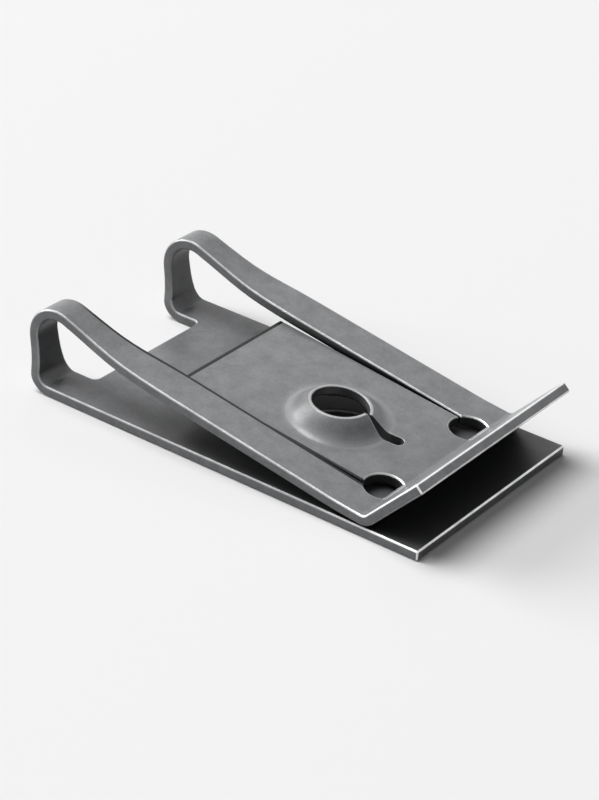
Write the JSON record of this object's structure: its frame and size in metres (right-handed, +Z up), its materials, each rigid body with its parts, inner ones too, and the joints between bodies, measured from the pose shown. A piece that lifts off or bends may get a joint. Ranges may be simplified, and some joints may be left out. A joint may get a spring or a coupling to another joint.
{
  "type": "u clip speed nut",
  "caption": "U-shaped clip-on speed nut folded from spring steel, with a raised thread impression, looped straps and a flared lip that slips over a panel edge.",
  "frame": {"origin": "underside of the flat leg, in the middle of the nut's length and width", "axes": "+X points from the loops at the rear to the open end where the panel enters, +Y is across the width, +Z is up through the raised thread impression"},
  "size_m": [0.0242, 0.0126, 0.0049],
  "materials": {
    "spring_steel": "satin dark phosphate and oil over hardened spring steel"
  },
  "bodies": {
    "root": {"clip": "spring_steel"}
  },
  "joints": []
}
